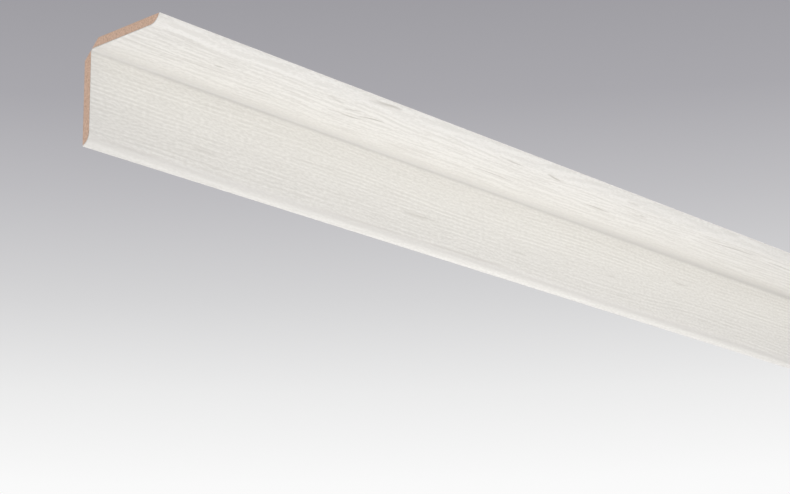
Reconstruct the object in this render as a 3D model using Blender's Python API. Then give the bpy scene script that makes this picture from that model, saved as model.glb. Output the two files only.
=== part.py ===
"""Folding angle moulding: two MDF strips joined along a V groove by the foil that covers them.

The section lies in the YZ plane and runs along X. The wall leg hangs down with its back on the
plane y = 0, the ceiling leg reaches out along -Y from the fold, and the origin is in the middle
of the wall leg's back.
"""
import math

import bmesh
import bpy
from mathutils import Vector

# Driving dimensions in metres.
LENGTH = 0.450
LEG_WIDTH = 0.033          # visible face of each leg, from the fold to its outer edge
BOARD_THICKNESS = 0.0030   # MDF, measured from the glue line to the back
FOIL_THICKNESS = 0.0003
GLUE_CLEARANCE = 0.0003    # kept between the foil and the boards
EDGE_RADIUS = 0.0045       # rounding of each outer edge, on the foil
FOLD_RADIUS = 0.0008       # visible inside radius of the foil at the fold
MITRE_CLEARANCE = 0.0003   # left between the two boards when the groove is shut
GROOVE_HALF_ANGLE = math.radians(45.0)

EDGE_STEPS = 20
FOLD_STEPS = 8
WELD_DISTANCE = 0.000001
SHARP_ANGLE = math.radians(20.0)

# Depths behind the visible face, and the hinge in the middle of the foil.
TOTAL_THICKNESS = FOIL_THICKNESS + BOARD_THICKNESS
BOARD_FRONT = FOIL_THICKNESS + GLUE_CLEARANCE
HINGE_DEPTH = FOIL_THICKNESS / 2.0

FOIL_COLOUR = (0.80, 0.78, 0.73, 1.0)
BOARD_COLOUR = (0.52, 0.36, 0.24, 1.0)


def edge_centre():
    """Centre of the outer edge's rounding, in a leg's own (along, depth) coordinates."""
    sweep = math.acos(max(0.0, 1.0 - TOTAL_THICKNESS / EDGE_RADIUS))
    return Vector((LEG_WIDTH - EDGE_RADIUS * math.sin(sweep), EDGE_RADIUS))


def edge_points(depth):
    """Rounded outer edge at a depth behind the visible face, from that face to the back plane."""
    centre = edge_centre()
    radius = EDGE_RADIUS - depth
    sweep = math.acos(max(0.0, (EDGE_RADIUS - TOTAL_THICKNESS) / radius))
    points = []
    for step in range(EDGE_STEPS + 1):
        angle = sweep * step / EDGE_STEPS
        along = centre.x + radius * math.sin(angle)
        points.append(Vector((along, centre.y - radius * math.cos(angle))))
    if points[-1].y < TOTAL_THICKNESS - WELD_DISTANCE:
        points.append(Vector((points[-1].x, TOTAL_THICKNESS)))
    return points


def groove_along(depth):
    """Where the groove's flank lies along the leg at a depth behind the visible face."""
    flank_offset = MITRE_CLEARANCE / 2.0 / math.cos(GROOVE_HALF_ANGLE)
    return -HINGE_DEPTH + flank_offset + (depth - HINGE_DEPTH) * math.tan(GROOVE_HALF_ANGLE)


def board_outline():
    """Section of one board in its leg's (along, depth) coordinates."""
    root = Vector((groove_along(BOARD_FRONT), BOARD_FRONT))
    back = Vector((groove_along(TOTAL_THICKNESS), TOTAL_THICKNESS))
    return [root] + edge_points(BOARD_FRONT) + [back]


def back_middle():
    """Middle of a board's flat back, measured along the leg from the fold."""
    return (groove_along(TOTAL_THICKNESS) + edge_points(BOARD_FRONT)[-1].x) / 2.0


# The corner where the two visible faces would meet, and the hinge line behind it.
CORNER = Vector((-TOTAL_THICKNESS, back_middle()))
HINGE = CORNER + Vector((HINGE_DEPTH, HINGE_DEPTH))


def on_wall_leg(point):
    """Section position of a leg point on the leg that hangs down the wall."""
    return CORNER + Vector((point.y, -point.x))


def on_ceiling_leg(point):
    """Section position of a leg point on the leg that runs out under the ceiling."""
    return CORNER + Vector((-point.x, point.y))


def fold_points(radius):
    """Arc of the foil round the fold, from the wall leg to the ceiling leg."""
    centre = CORNER + Vector((-FOLD_RADIUS, -FOLD_RADIUS))
    points = []
    for step in range(FOLD_STEPS + 1):
        angle = math.pi / 2.0 * step / FOLD_STEPS
        points.append(centre + radius * Vector((math.cos(angle), math.sin(angle))))
    return points


def foil_outline():
    """Section of the foil: its visible side there and its glued side back."""
    visible = [on_wall_leg(point) for point in reversed(edge_points(0.0))]
    visible += fold_points(FOLD_RADIUS)
    visible += [on_ceiling_leg(point) for point in edge_points(0.0)]
    glued = [on_ceiling_leg(point) for point in reversed(edge_points(FOIL_THICKNESS))]
    glued += reversed(fold_points(FOLD_RADIUS + FOIL_THICKNESS))
    glued += [on_wall_leg(point) for point in edge_points(FOIL_THICKNESS)]
    return visible + glued


def make_material(name, colour, roughness):
    material = bpy.data.materials.new(name)
    material.use_nodes = True
    shader = material.node_tree.nodes["Principled BSDF"]
    shader.inputs["Base Color"].default_value = colour
    shader.inputs["Roughness"].default_value = roughness
    shader.inputs["Metallic"].default_value = 0.0
    return material


def make_strip(name, outline, pivot, material, collection):
    """Extrude a section outline along X as a closed mesh whose origin is at the pivot."""
    curve = bpy.data.curves.new(name + "_section", "CURVE")
    curve.dimensions = "2D"
    curve.fill_mode = "BOTH"
    curve.extrude = LENGTH / 2.0
    spline = curve.splines.new("POLY")
    spline.points.add(len(outline) - 1)
    for spline_point, point in zip(spline.points, outline):
        local = point - pivot
        spline_point.co = (local.x, local.y, 0.0, 1.0)
    spline.use_cyclic_u = True

    section = bpy.data.objects.new(name + "_section", curve)
    collection.objects.link(section)
    section.location = (0.0, pivot.x, pivot.y)
    # The section's own X and Y become the frame's Y and Z, and it is extruded along X.
    section.rotation_euler = (math.pi / 2.0, 0.0, math.pi / 2.0)
    bpy.context.view_layer.update()

    evaluated = section.evaluated_get(bpy.context.evaluated_depsgraph_get())
    mesh = bpy.data.meshes.new_from_object(evaluated)
    mesh.name = name
    welded = bmesh.new()
    welded.from_mesh(mesh)
    bmesh.ops.remove_doubles(welded, verts=welded.verts, dist=WELD_DISTANCE)
    bmesh.ops.recalc_face_normals(welded, faces=welded.faces)
    welded.to_mesh(mesh)
    welded.free()
    mesh.materials.clear()
    mesh.materials.append(material)
    mesh.shade_smooth()
    mesh.set_sharp_from_angle(angle=SHARP_ANGLE)

    strip = bpy.data.objects.new(name, mesh)
    collection.objects.link(strip)
    strip.matrix_world = section.matrix_world.copy()
    bpy.data.objects.remove(section)
    return strip


def build():
    for leftover in list(bpy.data.objects):
        bpy.data.objects.remove(leftover)
    collection = bpy.data.collections.new("folding_angle_moulding")
    bpy.context.scene.collection.children.link(collection)

    mdf = make_material("mdf", BOARD_COLOUR, 0.9)
    foil = make_material("white_oak_foil", FOIL_COLOUR, 0.45)

    hinge = bpy.data.objects.new("fold_line", None)
    hinge.empty_display_type = "SINGLE_ARROW"
    hinge.empty_display_size = LEG_WIDTH
    hinge.location = (0.0, HINGE.x, HINGE.y)
    collection.objects.link(hinge)
    bpy.context.view_layer.update()

    wall_section = [on_wall_leg(point) for point in board_outline()]
    ceiling_section = [on_ceiling_leg(point) for point in board_outline()]
    wall_back = Vector((0.0, 0.0))
    make_strip("wall_leg_board", wall_section, wall_back, mdf, collection)
    make_strip("decor_foil", foil_outline(), wall_back, foil, collection)
    ceiling_board = make_strip("ceiling_leg_board", ceiling_section, HINGE, mdf, collection)
    placed = ceiling_board.matrix_world.copy()
    ceiling_board.parent = hinge
    ceiling_board.matrix_world = placed


build()
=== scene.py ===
"""Looks, lights and camera for the folding angle moulding. Lengths are in metres."""
import math

import bmesh
import bpy
import numpy as np
from mathutils import Euler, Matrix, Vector


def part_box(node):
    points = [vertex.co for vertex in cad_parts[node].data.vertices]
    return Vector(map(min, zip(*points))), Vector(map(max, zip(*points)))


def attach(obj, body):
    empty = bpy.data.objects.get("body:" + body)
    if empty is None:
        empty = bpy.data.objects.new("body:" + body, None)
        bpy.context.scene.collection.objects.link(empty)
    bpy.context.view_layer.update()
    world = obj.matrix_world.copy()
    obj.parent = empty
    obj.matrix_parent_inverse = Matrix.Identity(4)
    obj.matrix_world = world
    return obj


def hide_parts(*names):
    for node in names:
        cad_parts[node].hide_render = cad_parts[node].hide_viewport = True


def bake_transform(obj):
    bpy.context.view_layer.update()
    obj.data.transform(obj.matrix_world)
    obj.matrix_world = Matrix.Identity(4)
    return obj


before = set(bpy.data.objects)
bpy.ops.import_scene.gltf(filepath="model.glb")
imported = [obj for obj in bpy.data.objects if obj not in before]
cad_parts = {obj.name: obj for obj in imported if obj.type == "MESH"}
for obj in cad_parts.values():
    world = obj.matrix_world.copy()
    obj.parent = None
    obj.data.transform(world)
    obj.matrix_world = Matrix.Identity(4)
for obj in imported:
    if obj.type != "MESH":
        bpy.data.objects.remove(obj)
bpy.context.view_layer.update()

MM = 0.001
SEED = 11

# Section, as the CAD has it. Leg coordinates: along the leg from the fold, and depth
# behind the visible face.
TOTAL_THICKNESS = 3.3 * MM
FOIL_THICKNESS = 0.3 * MM
EDGE_RADIUS = 4.5 * MM
FOLD_RADIUS = 0.8 * MM
LEG_WIDTH = 33.0 * MM
HINGE_DEPTH = FOIL_THICKNESS / 2.0
MITRE_CLEARANCE = 0.3 * MM
BOARD_FRONT = 0.35 * MM

FOIL_LOW, FOIL_HIGH = (Vector(corner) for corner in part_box("decor_foil"))
CORNER_Y = FOIL_HIGH.y - TOTAL_THICKNESS
CORNER_Z = FOIL_HIGH.z - TOTAL_THICKNESS
X_LOW, X_HIGH = FOIL_LOW.x, FOIL_HIGH.x

# Mesh density of the visible skin and of the boards.
X_CELLS = 300
LEG_CELLS = 124
EDGE_CELLS = 20
FOLD_CELLS = 8
BACK_LEG_CELLS = 1
BACK_EDGE_CELLS = 4
BACK_FOLD_CELLS = 4
BOARD_ROWS = 12
BOARD_COLUMNS = 130
SHARP_ANGLE = 35.0

# Relief of the embossed skin: its deepest point, its mean as a share of that, and how much
# more the wall leg has.
DEEPEST_RELIEF = 0.110 * MM
MEAN_RELIEF = 0.36
WALL_DEEPER = 0.05

# Where relief and print fade out: beside the fold, towards the outer edges, and, on the
# ceiling leg alone, weaker in a calm band beside the fold.
SMOOTH_AT_FOLD = 1.5 * MM
PLAIN_AT_FOLD = SMOOTH_AT_FOLD * 0.4
WALL_SMOOTH_AT_TIP = 5.0 * MM
CEILING_SMOOTH_AT_TIP = 2.4 * MM
PLAIN_AT_TIP = 0.6 * MM
CALM_BAND = 9.0 * MM
CALM_LEAST = 0.35

# How the grain lines wander: cells along and across the grain in metres, how far in mm, and
# how strongly each leg has it. Then how far a knot pushes them, and how fast that falls off.
LONG_DRIFT_CELL = (0.090, 0.010)
LONG_DRIFT = 1.4
SHORT_DRIFT_CELL = (0.026, 0.006)
SHORT_DRIFT = 0.30
WALL_FIGURE = 0.70
CEILING_FIGURE = 1.25
KNOT_PUSH = 0.8
KNOT_FALLOFF = 0.6

# Cells of the random grain, along and across, in metres.
LINE_CELL = (0.013, 0.00045)
LONG_LINE_CELL = (0.026, 0.00045)
BROAD_CELL = (0.010, 0.0020)
FINE_CELL = (0.0022, 0.00040)

# Grain kept on each leg: strength, and middle and spread of its pitch in lines per metre.
# The ceiling leg's broad grain fades out towards its outer edge.
WALL_LINES = (0.092, 625.0, 185.0)
WALL_FINE = (0.022, 750.0, 400.0)
CEILING_LINES = (0.200, 350.0, 200.0)
CEILING_FINE = (0.055, 500.0, 400.0)
CEILING_BROAD = 0.090
BROAD_FREE_AT_TIP = 2.5 * MM
BROAD_FADE = 8.0 * MM

# Painted shade: a darker line in the fold. It is weaker at the low end.
CREASE_STRENGTH = 0.92
CREASE_WIDTH = 0.72 * MM
CREASE_OFFSET = 0.28 * MM
CREASE_FADE = 30.0 * MM
CREASE_AT_END = 0.80

# Shade of the ceiling leg beside the fold: it grows over a stretch far from the low end.
FOLD_SHADE = 0.72
FOLD_SHADE_REACH = 4.3 * MM
FOLD_SHADE_GROWTH = 0.38
GROWTH_START = 220.0 * MM
GROWTH_LENGTH = 80.0 * MM

# Painted shade in a darker band of the skin along each outer edge: its middle, half width and
# strength.
# The wall leg's band is wider on its outer side near the low end. The ceiling leg's has a
# share of its strength at the low end and gains a whole strength over the growth length.
WALL_EDGE = (30.95 * MM, 1.5 * MM, 0.68)
WALL_EDGE_SPREAD = 1.5 * MM
WALL_EDGE_SPREAD_LENGTH = 200.0 * MM
CEILING_EDGE = (31.8 * MM, 2.2 * MM, 0.34)
CEILING_EDGE_AT_END = 0.8
CEILING_EDGE_GROWTH_LENGTH = 600.0 * MM

# Strong grain strokes, in mm: leg, start and end from the low end, distance from the fold
# at both, strength.
STROKES = (
    ("wall", 107, 165, 29.8, 29.5, 0.26), ("wall", 160, 215, 29.7, 29.3, 0.30),
    ("wall", 0, 30, 30.2, 30.0, 0.24), ("wall", 45, 57, 22.2, 22.4, 0.24),
    ("wall", 91, 121, 14.2, 12.8, 0.13), ("wall", 113, 134, 22.3, 20.6, 0.08),
    ("wall", 151, 173, 20.0, 19.9, 0.30), ("wall", 217, 226, 21.7, 21.5, 0.22),
    ("wall", 280, 285, 18.4, 18.4, 0.28), ("wall", 326, 338, 11.3, 11.5, 0.28),
    ("ceiling", 0, 50, 14.4, 14.8, 0.30), ("ceiling", 38, 41, 18.5, 18.5, 0.65),
    ("ceiling", 84, 96, 26.8, 23.8, 0.32), ("ceiling", 93, 104, 17.2, 17.7, 0.30),
    ("ceiling", 98, 104, 21.4, 23.3, 0.50), ("ceiling", 101, 110, 16.8, 18.0, 0.65),
    ("ceiling", 107, 118, 20.2, 22.2, 0.80), ("ceiling", 103, 117, 32.4, 32.6, 0.85),
    ("ceiling", 100, 112, 31.6, 32.2, 0.40), ("ceiling", 177, 202, 13.9, 13.4, 0.45),
    ("ceiling", 180, 190, 28.0, 27.6, 0.60), ("ceiling", 204, 215, 28.7, 26.7, 0.85),
    ("ceiling", 243, 260, 16.7, 16.7, 0.62), ("ceiling", 254, 262, 30.0, 30.0, 0.40),
    ("ceiling", 270, 275, 23.6, 23.6, 0.50), ("ceiling", 322, 352, 23.6, 25.2, 0.58),
    ("ceiling", 365, 383, 24.0, 24.0, 0.40),
)

# Places where the grain bulges round a knot, in mm: leg, distance from the low end and from
# the fold, half length, half width.
KNOTS = (
    ("ceiling", 98, 22.5, 15, 3.4),
    ("ceiling", 232, 22.0, 26, 3.0),
    ("ceiling", 338, 20.0, 30, 3.2),
    ("wall", 140, 17.0, 28, 1.6),
    ("wall", 300, 18.5, 30, 1.8),
)

# Random pores: how many, their length in metres, slope, width in mm and strength, and the
# share of that strength on the wall leg.
RANDOM_PORES = 700
PORE_LENGTH = (0.005, 0.022)
PORE_SLOPE = 0.012
PORE_WIDTH = (0.20, 0.34)
PORE_STRENGTH = (0.06, 0.20)
WALL_PORES = 0.45

# Strokes and pores: the strokes' width, how far they wave, through what angle, the range of
# the wave's start, and how deep they are in the relief.
STROKE_WIDTH = 0.36 * MM
WAVE = 0.12 * MM
WAVE_ANGLE = 7.0
WAVE_START = 6.0
PORE_RELIEF = 0.9

# Roughness of the sawn ends, in mm.
END_ROUGHNESS = 0.09

# Colours of the foil, the board and the floor.
FOIL_WHITE = (0.812, 0.793, 0.743)
FOIL_SHADE = (0.770, 0.751, 0.701)
FOIL_PORE = (0.400, 0.370, 0.325)
# The next colour is painted shade, for the fold and the outer edges.
FOIL_PAINTED_SHADE = (0.585, 0.568, 0.532)
FOIL_RIDGE = (0.900, 0.883, 0.840)
FOIL_GROOVE = (0.668, 0.649, 0.602)
MDF_LIGHT = (0.820, 0.580, 0.438)
MDF_DARK = (0.545, 0.355, 0.245)
FLOOR_DARK = (0.86, 0.86, 0.86)
FLOOR_LIGHT = (0.90, 0.90, 0.90)

# Noise of the materials: stretch, size and detail.
CLOUD_NOISE = ((0.25, 1.0, 1.0), 160.0, 3.0)
THREAD_NOISE = ((0.05, 1.0, 1.0), 2400.0, 3.0)
FLECK_NOISE = ((0.32, 1.0, 1.0), 1650.0, 2.0)
FIBRE_NOISE = ((1.0, 1.0, 1.0), 1600.0, 6.0)
CLUMP_NOISE = ((0.4, 1.0, 1.0), 420.0, 3.0)
SANDING_NOISE = ((0.02, 1.0, 1.0), 1100.0, 3.0)
FLOOR_NOISE = ((1.0, 1.0, 1.0), 1.5, 4.0)

# How a noise or an attribute is spread: from low and high, to low and high.
CLOUD_TO_SHADE = (0.35, 0.75, 0.0, 0.6)
FLECK_TO_CENTRED = (0.0, 1.0, -0.5, 0.5)
RELIEF_TO_GROOVE = (0.08, 0.64, 0.0, 1.0)
THREAD_TO_GROOVE = (0.3, 0.7, 0.0, 0.12)
CLOUD_TO_ROUGHNESS = (0.3, 0.7, 0.44, 0.54)
FIBRE_TO_LIGHT = (0.35, 0.65, 0.0, 1.0)
CLUMP_TO_LIGHT = (0.3, 0.8, 0.0, 0.5)
SANDING_TO_DARK = (0.4, 0.75, 0.0, 0.3)
DENSE_TO_DARK = (0.6, 1.0, 0.0, 0.25)
FLOOR_SPREAD = (0.3, 0.7, 0.0, 1.0)

# The foil's tone: share of the print in it, and how strong its flecks are on each leg.
PRINT_SHARE = 0.50
CEILING_FLECK = 1.8
WALL_FLECK = 1.5

# Bump strength and distance, refractive index and roughness.
FOIL_BUMP = (0.6, 0.04 * MM)
MDF_BUMP = (0.5, 0.08 * MM)
FOIL_IOR = 1.45
MDF_ROUGHNESS = 0.85
FLOOR_ROUGHNESS = 0.9

# Sun: turn in degrees, strength and angle. Areas: name, place, target, size and power.
TOP_SUN = ((-28.0, 0.0, 0.0), 0.73, 20.0)
AREA_LIGHTS = (
    ("key_below", (-0.05, -0.30, -0.55), (-0.05, 0.0, 0.0), 0.35, 2.33),
    ("far_front", (0.32, -0.80, -0.25), (0.10, 0.0, 0.0), 0.4, 0.76),
    ("near_end", (-2.0, -0.10, -0.06), (0.0, 0.0, 0.0), 0.6, 6.8),
)

# Camera: place, turn in degrees, lens and sensor in mm, and what it clips in metres.
CAMERA_PLACE = (-0.66763, -0.53134, -0.26366)
CAMERA_TURN = (107.2567, 0.9053, -47.9056)
CAMERA_LENS = 102.009
SENSOR_WIDTH = 36.0
CLIP_START = 0.01
CLIP_END = 30.0

# Backdrop: elevation in degrees, brightness, and how blue it is. Green loses a share of that.
BACKDROP_STOPS = (
    (-6.0, 0.660, 0.01), (4.0, 0.820, 0.0), (11.0, 0.965, 0.0), (13.5, 0.839, 0.0),
    (16.0, 0.660, 0.01), (18.5, 0.520, 0.03), (21.0, 0.400, 0.05), (23.5, 0.347, 0.055),
)
GREEN_LOSS = 0.3

FLOOR_HEIGHT = -2.4
FLOOR_RADIUS = 20.0
FLOOR_SIDES = 96


def wall_point(along, depth):
    return np.stack([CORNER_Y + depth, CORNER_Z - along], axis=-1)


def ceiling_point(along, depth):
    return np.stack([CORNER_Y - along, CORNER_Z + depth], axis=-1)


def edge_centre_along():
    sweep = math.acos(1.0 - TOTAL_THICKNESS / EDGE_RADIUS)
    return LEG_WIDTH - EDGE_RADIUS * math.sin(sweep)


def half_section(depth, leg_cells, edge_cells):
    """One leg's skin at a depth, from the fold fillet's end to the tip.

    Returns (along, depth) and the inward direction.
    """
    centre = edge_centre_along()
    along = np.linspace(FOLD_RADIUS, centre, leg_cells + 1)
    flat = np.stack([along, np.full_like(along, depth)], axis=1)
    flat_in = np.tile([0.0, 1.0], (len(along), 1))
    radius = EDGE_RADIUS - depth
    sweep = math.acos((EDGE_RADIUS - TOTAL_THICKNESS) / radius)
    turn = np.linspace(0.0, sweep, edge_cells + 1)[1:]
    arc = np.stack([centre + radius * np.sin(turn), EDGE_RADIUS - radius * np.cos(turn)], axis=1)
    arc_in = np.stack([-np.sin(turn), np.cos(turn)], axis=1)
    return np.vstack([flat, arc]), np.vstack([flat_in, arc_in])


def skin_section(depth, leg_cells, edge_cells, fold_cells):
    """The skin at a depth, from the wall leg's tip to the ceiling leg's.

    Returns (y, z) and the inward direction.
    """
    points, inward = half_section(depth, leg_cells, edge_cells)
    wall = wall_point(points[:, 0], points[:, 1])[::-1]
    wall_in = np.stack([inward[:, 1], -inward[:, 0]], axis=1)[::-1]
    ceiling = ceiling_point(points[:, 0], points[:, 1])
    ceiling_in = np.stack([-inward[:, 0], inward[:, 1]], axis=1)
    turn = np.linspace(0.0, math.pi / 2.0, fold_cells + 1)[1:-1]
    out = np.stack([np.cos(turn), np.sin(turn)], axis=1)
    centre = np.array([CORNER_Y - FOLD_RADIUS, CORNER_Z - FOLD_RADIUS])
    fold = centre + (FOLD_RADIUS + depth) * out
    return np.vstack([wall, fold, ceiling]), np.vstack([wall_in, out, ceiling_in])


def developed_length(points):
    """Distance along the skin, zero at the middle of the fold, negative on the wall leg."""
    steps = np.linalg.norm(np.diff(points, axis=0), axis=1)
    length = np.concatenate([[0.0], np.cumsum(steps)])
    return length - length[-1] / 2.0


def value_noise(rng, along, across, cell):
    """Smooth random values of about unit size, one per cell of (along, across)."""
    u = along / cell[0]
    v = across / cell[1]
    u = u - u.min()
    v = v - v.min()
    grid = rng.standard_normal((int(u.max()) + 3, int(v.max()) + 3))
    iu, iv = u.astype(int), v.astype(int)
    fu, fv = u - iu, v - iv
    fu, fv = fu * fu * (3 - 2 * fu), fv * fv * (3 - 2 * fv)
    low = grid[iu, iv] * (1 - fv) + grid[iu, iv + 1] * fv
    high = grid[iu + 1, iv] * (1 - fv) + grid[iu + 1, iv + 1] * fv
    return low * (1 - fu) + high * fu


def band_pass(field, s, strength, middle, spread):
    """field with only the detail across the grain near middle, in lines per metre."""
    step = (s[-1] - s[0]) / (len(s) - 1)
    pitch = np.fft.rfftfreq(len(s), step)
    keep = np.exp(-((pitch - middle) / spread) ** 2)
    passed = np.fft.irfft(np.fft.rfft(field, axis=1) * keep[None], n=len(s), axis=1)
    return strength * (passed / passed.std())


def leg_sign(leg):
    return -1.0 if leg == "wall" else 1.0


def add_stroke(field, x, s, start, end, s_start, s_end, width, strength, wave):
    """A tapered groove, drawn into the field where it is deeper than what is there."""
    rows = np.where((x >= start) & (x <= end))[0]
    if len(rows) < 2:
        return
    share = (x[rows] - start) / (end - start)
    middle = s_start + (s_end - s_start) * share + WAVE * np.sin(wave + share * WAVE_ANGLE)
    taper = np.sin(np.clip(share, 0.0, 1.0) * math.pi) ** 0.5
    across = (s[None, :] - middle[:, None]) / width
    field[rows] = np.maximum(field[rows], strength * taper[:, None] * np.exp(-across * across))


def line_flow(rng, along, across):
    """Place across the grain after its wandering, which the lines follow."""
    drift = value_noise(rng, along, across, LONG_DRIFT_CELL) * LONG_DRIFT * MM
    drift += value_noise(rng, along, across, SHORT_DRIFT_CELL) * SHORT_DRIFT * MM
    drift *= np.where(across > 0.0, CEILING_FIGURE, WALL_FIGURE)
    for leg, place, off, half_length, half_width in KNOTS:
        du = (along - place * MM) / (half_length * MM)
        dv = (across - leg_sign(leg) * off * MM) / (half_width * MM)
        push = np.sign(dv) * half_width * MM * KNOT_PUSH
        drift += push * np.exp(-du * du) * np.exp(-np.abs(dv) * KNOT_FALLOFF)
    return across - drift


def pore_field(rng, along, s):
    """Strength of the pores and strokes, 0 to 1, on the grid of distance from the low end by s."""
    pores = np.zeros((len(along), len(s)))
    for _ in range(RANDOM_PORES):
        start = rng.uniform(0.0, X_HIGH - X_LOW)
        length = rng.uniform(*PORE_LENGTH)
        middle = rng.uniform(s[0], s[-1])
        slope = rng.uniform(-PORE_SLOPE, PORE_SLOPE) * length
        width = rng.uniform(*PORE_WIDTH) * MM
        strength = rng.uniform(*PORE_STRENGTH) * (WALL_PORES if middle < 0.0 else 1.0)
        wave = rng.uniform(0.0, WAVE_START)
        add_stroke(pores, along, s, start, start + length, middle, middle + slope, width,
                   strength, wave)
    for leg, start, end, off_start, off_end, strength in STROKES:
        side = leg_sign(leg)
        wave = rng.uniform(0.0, WAVE_START)
        add_stroke(pores, along, s, start * MM, end * MM, side * off_start * MM,
                   side * off_end * MM, STROKE_WIDTH, strength, wave)
    return pores


def grain_fields(x, s):
    """Relief depth, printed tone and darkness of the skin, 0 to 1, on the grid of x by s."""
    rng = np.random.default_rng(SEED)
    along, across = np.meshgrid(x - X_LOW, s, indexing="ij")
    ceiling = across > 0.0
    flow = line_flow(rng, along, across)
    lines = value_noise(rng, along, flow, LINE_CELL)
    long_lines = value_noise(rng, along, flow, LONG_LINE_CELL)
    broad = value_noise(rng, along, flow, BROAD_CELL)
    fine = value_noise(rng, along, flow, FINE_CELL)
    wall_grain = band_pass(long_lines, s, *WALL_LINES) + band_pass(fine, s, *WALL_FINE)
    to_tip = s[-1] - np.abs(across)
    even_edge = np.clip((to_tip - BROAD_FREE_AT_TIP) / BROAD_FADE, 0.0, 1.0)
    ceiling_grain = band_pass(lines, s, *CEILING_LINES) + band_pass(fine, s, *CEILING_FINE)
    ceiling_grain += CEILING_BROAD * even_edge * broad
    relief = MEAN_RELIEF + np.where(ceiling, ceiling_grain, WALL_DEEPER + wall_grain)
    pores = pore_field(rng, x - X_LOW, s)
    near_fold = np.clip((np.abs(across) - PLAIN_AT_FOLD) / SMOOTH_AT_FOLD, 0.0, 1.0)
    calm = np.where(ceiling, np.clip(across / CALM_BAND, CALM_LEAST, 1.0), 1.0)
    printed = near_fold * calm * np.clip(to_tip / PLAIN_AT_TIP, 0.0, 1.0)
    smooth_at_tip = np.where(ceiling, CEILING_SMOOTH_AT_TIP, WALL_SMOOTH_AT_TIP)
    embossed = near_fold * calm * np.clip(to_tip / smooth_at_tip, 0.0, 1.0)
    relief = np.clip(relief + PORE_RELIEF * pores, 0.0, 1.0)
    print_depth = MEAN_RELIEF + (relief - MEAN_RELIEF) * printed
    return relief * embossed, print_depth, np.clip(pores, 0.0, 1.0) * printed


def fold_tone(along, s):
    """Painted shade: the darker line in the fold and the shade beside it, on the same grid."""
    end_fade = np.clip(along / CREASE_FADE, CREASE_AT_END, 1.0)
    line = CREASE_STRENGTH * end_fade * np.exp(-((s + CREASE_OFFSET) / CREASE_WIDTH) ** 2)
    growth = 1.0 + FOLD_SHADE_GROWTH * np.clip((along - GROWTH_START) / GROWTH_LENGTH, 0.0, 1.0)
    shade = growth * np.where(s > 0.0, FOLD_SHADE * np.exp(-np.abs(s) / FOLD_SHADE_REACH), 0.0)
    return np.maximum(line, shade)


def edge_tone(along, s):
    """Painted shade in bands along the outer edges, on the same grid."""
    middle, half_width, strength = WALL_EDGE
    spread = WALL_EDGE_SPREAD * np.clip(1.0 - along / WALL_EDGE_SPREAD_LENGTH, 0.0, 1.0)
    width = np.where(-s > middle, half_width + spread, half_width)
    wall = strength * np.exp(-((-s - middle) / width) ** 2)
    middle, half_width, strength = CEILING_EDGE
    growth = CEILING_EDGE_AT_END + along / CEILING_EDGE_GROWTH_LENGTH
    ceiling = strength * growth * np.exp(-((s - middle) / half_width) ** 2)
    return np.where(s < 0.0, wall, ceiling)


def object_from(name, points, faces):
    mesh = bpy.data.meshes.new(name)
    mesh.from_pydata([tuple(p) for p in points], [], faces)
    mesh.validate()
    mesh.update()
    obj = bpy.data.objects.new(name, mesh)
    bpy.context.collection.objects.link(obj)
    return obj


def finish_mesh(obj):
    mesh = obj.data
    work = bmesh.new()
    work.from_mesh(mesh)
    bmesh.ops.recalc_face_normals(work, faces=work.faces)
    work.to_mesh(mesh)
    work.free()
    mesh.polygons.foreach_set("use_smooth", [True] * len(mesh.polygons))
    mesh.set_sharp_from_angle(angle=math.radians(SHARP_ANGLE))
    mesh.update()


def store(obj, name, kind, values):
    layer = obj.data.attributes.new(name, kind, "POINT")
    key = "vector" if kind == "FLOAT_VECTOR" else "value"
    layer.data.foreach_set(key, np.asarray(values, np.float32).ravel())


def store_front(obj, name, front, rest, grid):
    """Store a number per point of the foil: front on the visible face, rest behind it."""
    values = np.full(grid, rest)
    values[:, :front.shape[-1]] = front
    store(obj, name, "FLOAT", values)


def make_foil():
    front, inward = skin_section(0.0, LEG_CELLS, EDGE_CELLS, FOLD_CELLS)
    back, _ = skin_section(FOIL_THICKNESS, BACK_LEG_CELLS, BACK_EDGE_CELLS, BACK_FOLD_CELLS)
    x = np.linspace(X_LOW, X_HIGH, X_CELLS + 1)
    s = developed_length(front)
    relief, print_depth, pores = grain_fields(x, s)
    section = front[None] + inward[None] * (relief * DEEPEST_RELIEF)[:, :, None]
    count_front, count_back = len(front), len(back)
    ring = count_front + count_back
    points = np.zeros((len(x), ring, 3))
    points[:, :, 0] = x[:, None]
    points[:, :count_front, 1:] = section
    points[:, count_front:, 1:] = back[::-1][None]
    faces = []
    for i in range(X_CELLS):
        for j in range(ring):
            k = (j + 1) % ring
            here, there = i * ring, (i + 1) * ring
            faces.append((here + j, here + k, there + k, there + j))
    last = X_CELLS * ring
    faces.append(tuple(range(ring)))
    faces.append(tuple(last + j for j in reversed(range(ring))))
    foil = object_from("embossed_foil", points.reshape(-1, 3), faces)
    developed = np.zeros((len(x), ring, 3))
    developed[:, :, 0] = x[:, None]
    developed[:, :count_front, 1] = s
    developed[:, count_front:, 1] = developed_length(back)[::-1]
    store(foil, "developed", "FLOAT_VECTOR", developed)
    grid = (len(x), ring)
    along = (x - X_LOW)[:, None]
    # Painted shade of the fold and of the outer edges, kept per point.
    painted_shade = np.maximum(fold_tone(along, s), edge_tone(along, s))
    fleck_depth = np.where(s > 0.0, CEILING_FLECK, WALL_FLECK)
    store_front(foil, "pore", pores, 0.0, grid)
    store_front(foil, "painted_shade", painted_shade, 0.0, grid)
    store_front(foil, "relief", print_depth, MEAN_RELIEF, grid)
    store_front(foil, "fleck_depth", fleck_depth, CEILING_FLECK, grid)
    finish_mesh(foil)
    return foil


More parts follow.
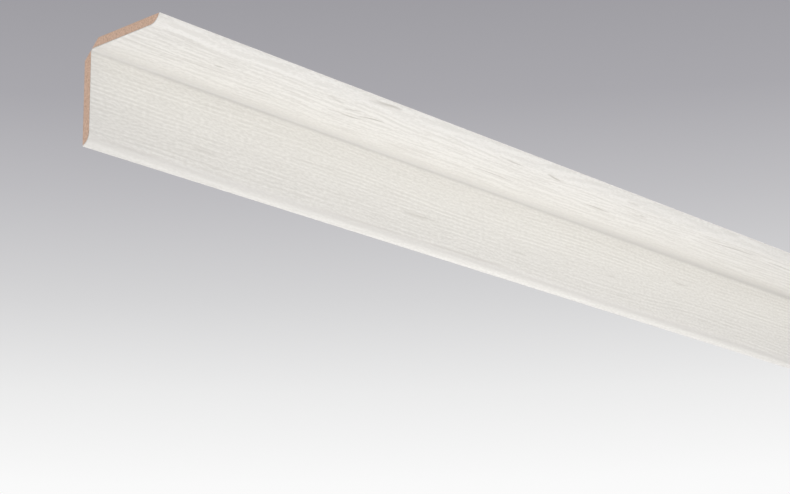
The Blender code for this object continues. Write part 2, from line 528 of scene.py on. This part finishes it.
def make_board(name, place, rng):
    """A leg's board: both its ends are fibrous and its long faces are plain."""
    radius = EDGE_RADIUS - BOARD_FRONT
    sweep = math.acos((EDGE_RADIUS - TOTAL_THICKNESS) / radius)
    turn = np.linspace(0.0, sweep, BOARD_ROWS + 1)
    depth = EDGE_RADIUS - radius * np.cos(turn)
    outer = edge_centre_along() + radius * np.sin(turn)
    flank = MITRE_CLEARANCE / math.sqrt(2.0)
    inner = -HINGE_DEPTH + flank + (depth - HINGE_DEPTH)
    share = np.linspace(0.0, 1.0, BOARD_COLUMNS + 1)
    along = inner[:, None] + (outer - inner)[:, None] * share[None]
    section = place(along, np.broadcast_to(depth[:, None], along.shape))
    rows, columns = along.shape
    cap = rows * columns
    points = np.zeros((2, rows, columns, 3))
    points[..., 1:] = section[None]
    rough = rng.uniform(0.0, END_ROUGHNESS, (2, rows, columns)) * MM
    rough[:, 0, :] = rough[:, -1, :] = rough[:, :, 0] = rough[:, :, -1] = 0.0
    points[0, :, :, 0] = X_LOW + rough[0]
    points[1, :, :, 0] = X_HIGH - rough[1]
    faces = []
    for r in range(rows - 1):
        for c in range(columns - 1):
            a = r * columns + c
            faces.append((a, a + 1, a + columns + 1, a + columns))
            faces.append((cap + a, cap + a + columns, cap + a + columns + 1, cap + a + 1))
    rim = list(range(columns))
    rim += [r * columns + columns - 1 for r in range(1, rows)]
    rim += [(rows - 1) * columns + c for c in range(columns - 2, -1, -1)]
    rim += [r * columns for r in range(rows - 2, 0, -1)]
    for here, there in zip(rim, rim[1:] + rim[:1]):
        faces.append((here, cap + here, cap + there, there))
    board = object_from(name, points.reshape(-1, 3), faces)
    from_middle = np.abs(depth - TOTAL_THICKNESS / 2.0) / (TOTAL_THICKNESS / 2.0)
    from_middle = np.broadcast_to(from_middle[None, :, None], (2, rows, columns))
    store(board, "from_middle", "FLOAT", from_middle)
    finish_mesh(board)
    return board


class Nodes:
    """A few short calls for building a node tree."""

    def __init__(self, tree):
        self.tree = tree
        tree.nodes.clear()

    def add(self, kind, **values):
        node = self.tree.nodes.new(kind)
        for key, value in values.items():
            setattr(node, key, value)
        return node

    def join(self, source, target):
        self.tree.links.new(source, target)

    def attribute(self, name):
        return self.add("ShaderNodeAttribute", attribute_name=name)

    def stretched_noise(self, coordinates, scale, size, detail):
        mapping = self.add("ShaderNodeMapping")
        mapping.inputs["Scale"].default_value = scale
        self.join(coordinates, mapping.inputs["Vector"])
        noise = self.add("ShaderNodeTexNoise")
        noise.inputs["Scale"].default_value = size
        noise.inputs["Detail"].default_value = detail
        self.join(mapping.outputs["Vector"], noise.inputs["Vector"])
        return noise.outputs["Fac"]

    def spread(self, value, low, high, to_low, to_high):
        node = self.add("ShaderNodeMapRange")
        limits = {"From Min": low, "From Max": high, "To Min": to_low, "To Max": to_high}
        for key, number in limits.items():
            node.inputs[key].default_value = number
        self.join(value, node.inputs["Value"])
        return node.outputs["Result"]

    def blend_colours(self, factor, first, second):
        node = self.add("ShaderNodeMix", data_type="RGBA")
        self.join(factor, node.inputs["Factor"])
        for key, colour in ((6, first), (7, second)):
            if isinstance(colour, tuple):
                node.inputs[key].default_value = colour + (1.0,)
            else:
                self.join(colour, node.inputs[key])
        return node.outputs[2]

    def mix_by_share(self, share, first, second):
        node = self.add("ShaderNodeMix", data_type="RGBA")
        node.inputs["Factor"].default_value = share
        self.join(first, node.inputs[6])
        self.join(second, node.inputs[7])
        return node.outputs[2]

    def add_product(self, value, first, second):
        node = self.add("ShaderNodeMath", operation="MULTIPLY_ADD")
        self.join(first, node.inputs[0])
        self.join(second, node.inputs[1])
        self.join(value, node.inputs[2])
        return node.outputs["Value"]

    def bump(self, height, strength, distance):
        node = self.add("ShaderNodeBump")
        node.inputs["Strength"].default_value = strength
        node.inputs["Distance"].default_value = distance
        self.join(height, node.inputs["Height"])
        return node.outputs["Normal"]


def principled(name):
    material = bpy.data.materials.new(name)
    material.use_nodes = True
    nodes = Nodes(material.node_tree)
    shader = nodes.add("ShaderNodeBsdfPrincipled")
    output = nodes.add("ShaderNodeOutputMaterial")
    nodes.join(shader.outputs["BSDF"], output.inputs["Surface"])
    return material, nodes, shader


def foil_material():
    material, nodes, shader = principled("foil_embossed_white")
    place = nodes.attribute("developed").outputs["Vector"]
    cloud = nodes.stretched_noise(place, *CLOUD_NOISE)
    thread = nodes.stretched_noise(place, *THREAD_NOISE)
    tone = nodes.blend_colours(nodes.spread(cloud, *CLOUD_TO_SHADE), FOIL_WHITE, FOIL_SHADE)
    fleck = nodes.spread(nodes.stretched_noise(place, *FLECK_NOISE), *FLECK_TO_CENTRED)
    fleck_depth = nodes.attribute("fleck_depth").outputs["Fac"]
    groove = nodes.add_product(nodes.attribute("relief").outputs["Fac"], fleck, fleck_depth)
    groove = nodes.spread(groove, *RELIEF_TO_GROOVE)
    print_tone = nodes.blend_colours(groove, FOIL_RIDGE, FOIL_GROOVE)
    tone = nodes.mix_by_share(PRINT_SHARE, tone, print_tone)
    tone = nodes.blend_colours(nodes.spread(thread, *THREAD_TO_GROOVE), tone, FOIL_GROOVE)
    colour = nodes.blend_colours(nodes.attribute("pore").outputs["Fac"], tone, FOIL_PORE)
    # Painted shade of the fold and the outer edges darkens the colour.
    painted_shade = nodes.attribute("painted_shade").outputs["Fac"]
    nodes.join(nodes.blend_colours(painted_shade, colour, FOIL_PAINTED_SHADE), shader.inputs["Base Color"])
    nodes.join(nodes.spread(cloud, *CLOUD_TO_ROUGHNESS), shader.inputs["Roughness"])
    nodes.join(nodes.bump(thread, *FOIL_BUMP), shader.inputs["Normal"])
    shader.inputs["IOR"].default_value = FOIL_IOR
    return material


def mdf_material():
    material, nodes, shader = principled("mdf_sawn")
    place = nodes.add("ShaderNodeTexCoord").outputs["Object"]
    fibre = nodes.stretched_noise(place, *FIBRE_NOISE)
    clump = nodes.stretched_noise(place, *CLUMP_NOISE)
    tone = nodes.blend_colours(nodes.spread(fibre, *FIBRE_TO_LIGHT), MDF_DARK, MDF_LIGHT)
    colour = nodes.blend_colours(nodes.spread(clump, *CLUMP_TO_LIGHT), tone, MDF_LIGHT)
    sanding = nodes.stretched_noise(place, *SANDING_NOISE)
    colour = nodes.blend_colours(nodes.spread(sanding, *SANDING_TO_DARK), colour, MDF_DARK)
    dense = nodes.attribute("from_middle").outputs["Fac"]
    colour = nodes.blend_colours(nodes.spread(dense, *DENSE_TO_DARK), colour, MDF_DARK)
    nodes.join(colour, shader.inputs["Base Color"])
    shader.inputs["Roughness"].default_value = MDF_ROUGHNESS
    nodes.join(nodes.bump(fibre, *MDF_BUMP), shader.inputs["Normal"])
    return material


def floor_material():
    material, nodes, shader = principled("studio_floor")
    place = nodes.add("ShaderNodeTexCoord").outputs["Object"]
    cloud = nodes.stretched_noise(place, *FLOOR_NOISE)
    colour = nodes.blend_colours(nodes.spread(cloud, *FLOOR_SPREAD), FLOOR_DARK, FLOOR_LIGHT)
    nodes.join(colour, shader.inputs["Base Color"])
    shader.inputs["Roughness"].default_value = FLOOR_ROUGHNESS
    return material


def make_world():
    """A backdrop that is white low down and falls off to grey with height."""
    world = bpy.data.worlds.new("backdrop")
    bpy.context.scene.world = world
    world.use_nodes = True
    nodes = Nodes(world.node_tree)
    direction = nodes.add("ShaderNodeTexCoord").outputs["Generated"]
    split = nodes.add("ShaderNodeSeparateXYZ")
    nodes.join(direction, split.inputs["Vector"])
    ramp = nodes.add("ShaderNodeValToRGB")
    ramp.color_ramp.interpolation = "LINEAR"
    height = nodes.spread(split.outputs["Z"], -1.0, 1.0, 0.0, 1.0)
    nodes.join(height, ramp.inputs["Fac"])
    elements = ramp.color_ramp.elements
    while len(elements) > 1:
        elements.remove(elements[-1])
    for index, (degrees, level, tint) in enumerate(BACKDROP_STOPS):
        position = (math.sin(math.radians(degrees)) + 1.0) / 2.0
        element = elements[0] if index == 0 else elements.new(position)
        element.position = position
        green = level * (1.0 - GREEN_LOSS * tint)
        element.color = (level, green, level * (1.0 + tint), 1.0)
    background = nodes.add("ShaderNodeBackground")
    nodes.join(ramp.outputs["Color"], background.inputs["Color"])
    output = nodes.add("ShaderNodeOutputWorld")
    nodes.join(background.outputs["Background"], output.inputs["Surface"])


def make_floor():
    turns = [2.0 * math.pi * side / FLOOR_SIDES for side in range(FLOOR_SIDES)]
    rim = [(FLOOR_RADIUS * math.cos(turn), FLOOR_RADIUS * math.sin(turn), FLOOR_HEIGHT)
           for turn in turns]
    floor = object_from("studio_floor", rim, [tuple(range(FLOOR_SIDES))])
    floor.data.materials.append(floor_material())


def make_sun(name, turn, strength, angle):
    light = bpy.data.lights.new(name, "SUN")
    light.energy = strength
    light.angle = math.radians(angle)
    obj = bpy.data.objects.new(name, light)
    obj.rotation_euler = Euler([math.radians(a) for a in turn])
    bpy.context.collection.objects.link(obj)


def make_area(name, place, target, size, power):
    light = bpy.data.lights.new(name, "AREA")
    light.energy = power
    light.size = size
    obj = bpy.data.objects.new(name, light)
    obj.location = place
    direction = Vector(target) - Vector(place)
    obj.rotation_euler = direction.to_track_quat("-Z", "Y").to_euler()
    bpy.context.collection.objects.link(obj)


def make_camera():
    data = bpy.data.cameras.new("camera")
    data.sensor_fit = "HORIZONTAL"
    data.sensor_width = SENSOR_WIDTH
    data.lens = CAMERA_LENS
    data.clip_start = CLIP_START
    data.clip_end = CLIP_END
    camera = bpy.data.objects.new("camera", data)
    camera.location = CAMERA_PLACE
    camera.rotation_euler = Euler([math.radians(a) for a in CAMERA_TURN])
    bpy.context.collection.objects.link(camera)
    bpy.context.scene.camera = camera


bpy.context.scene.view_settings.view_transform = "Standard"
make_world()
make_floor()
make_sun("top_sun", *TOP_SUN)
for area in AREA_LIGHTS:
    make_area(*area)
make_camera()

foil = make_foil()
foil.data.materials.append(foil_material())
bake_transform(foil)
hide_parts("decor_foil")

core = mdf_material()
board_rng = np.random.default_rng(SEED + 1)
for node, body, place in (("wall_leg_board", "wall_leg", wall_point),
                          ("ceiling_leg_board", "ceiling_leg", ceiling_point)):
    board = make_board(node.replace("board", "core"), place, board_rng)
    board.data.materials.append(core)
    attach(board, body)
    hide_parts(node)
